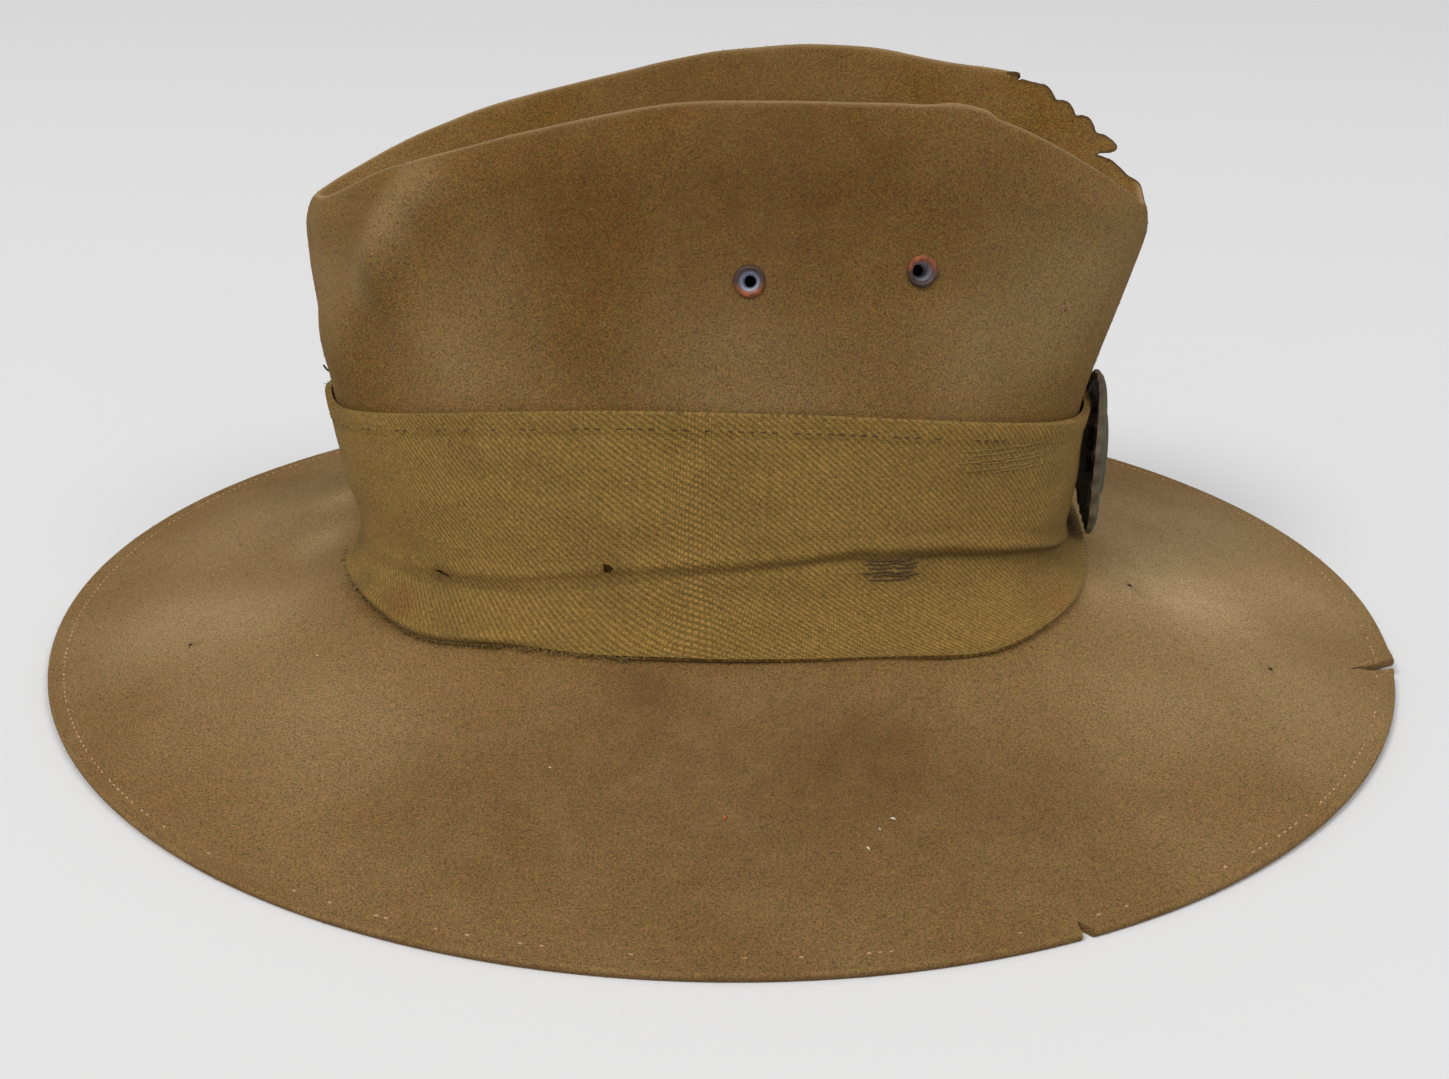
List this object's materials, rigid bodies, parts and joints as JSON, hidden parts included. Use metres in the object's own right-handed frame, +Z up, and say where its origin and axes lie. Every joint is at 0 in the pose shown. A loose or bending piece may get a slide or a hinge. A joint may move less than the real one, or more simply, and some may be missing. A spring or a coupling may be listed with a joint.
{
  "type": "slouch hat",
  "caption": "Wide-brimmed fur-felt slouch hat with a creased crown, a cloth band, vent eyelets and a plain front badge, worn and torn.",
  "frame": {"origin": "on the surface that the brim rests on, under the middle of the hat's box", "axes": "+X to the front of the hat, where the badge is, +Y to the wearer's left, +Z up"},
  "size_m": [0.362, 0.311, 0.1491],
  "materials": {
    "felt": "worn khaki fur felt, matt with a short nap, mottled and lightly stained",
    "band_cloth": "faded olive cotton twill, matt, darned and frayed",
    "eyelet_iron": "rusted sheet iron",
    "badge_bronze": "dark cast bronze with a dull green patina"
  },
  "bodies": {
    "root": {"felt_body": "felt", "puggaree": "band_cloth", "eyelet_right_rear": "eyelet_iron", "eyelet_right_front": "eyelet_iron", "eyelet_left_rear": "eyelet_iron", "eyelet_left_front": "eyelet_iron", "badge": "badge_bronze", "badge_pin": "eyelet_iron"}
  },
  "joints": []
}
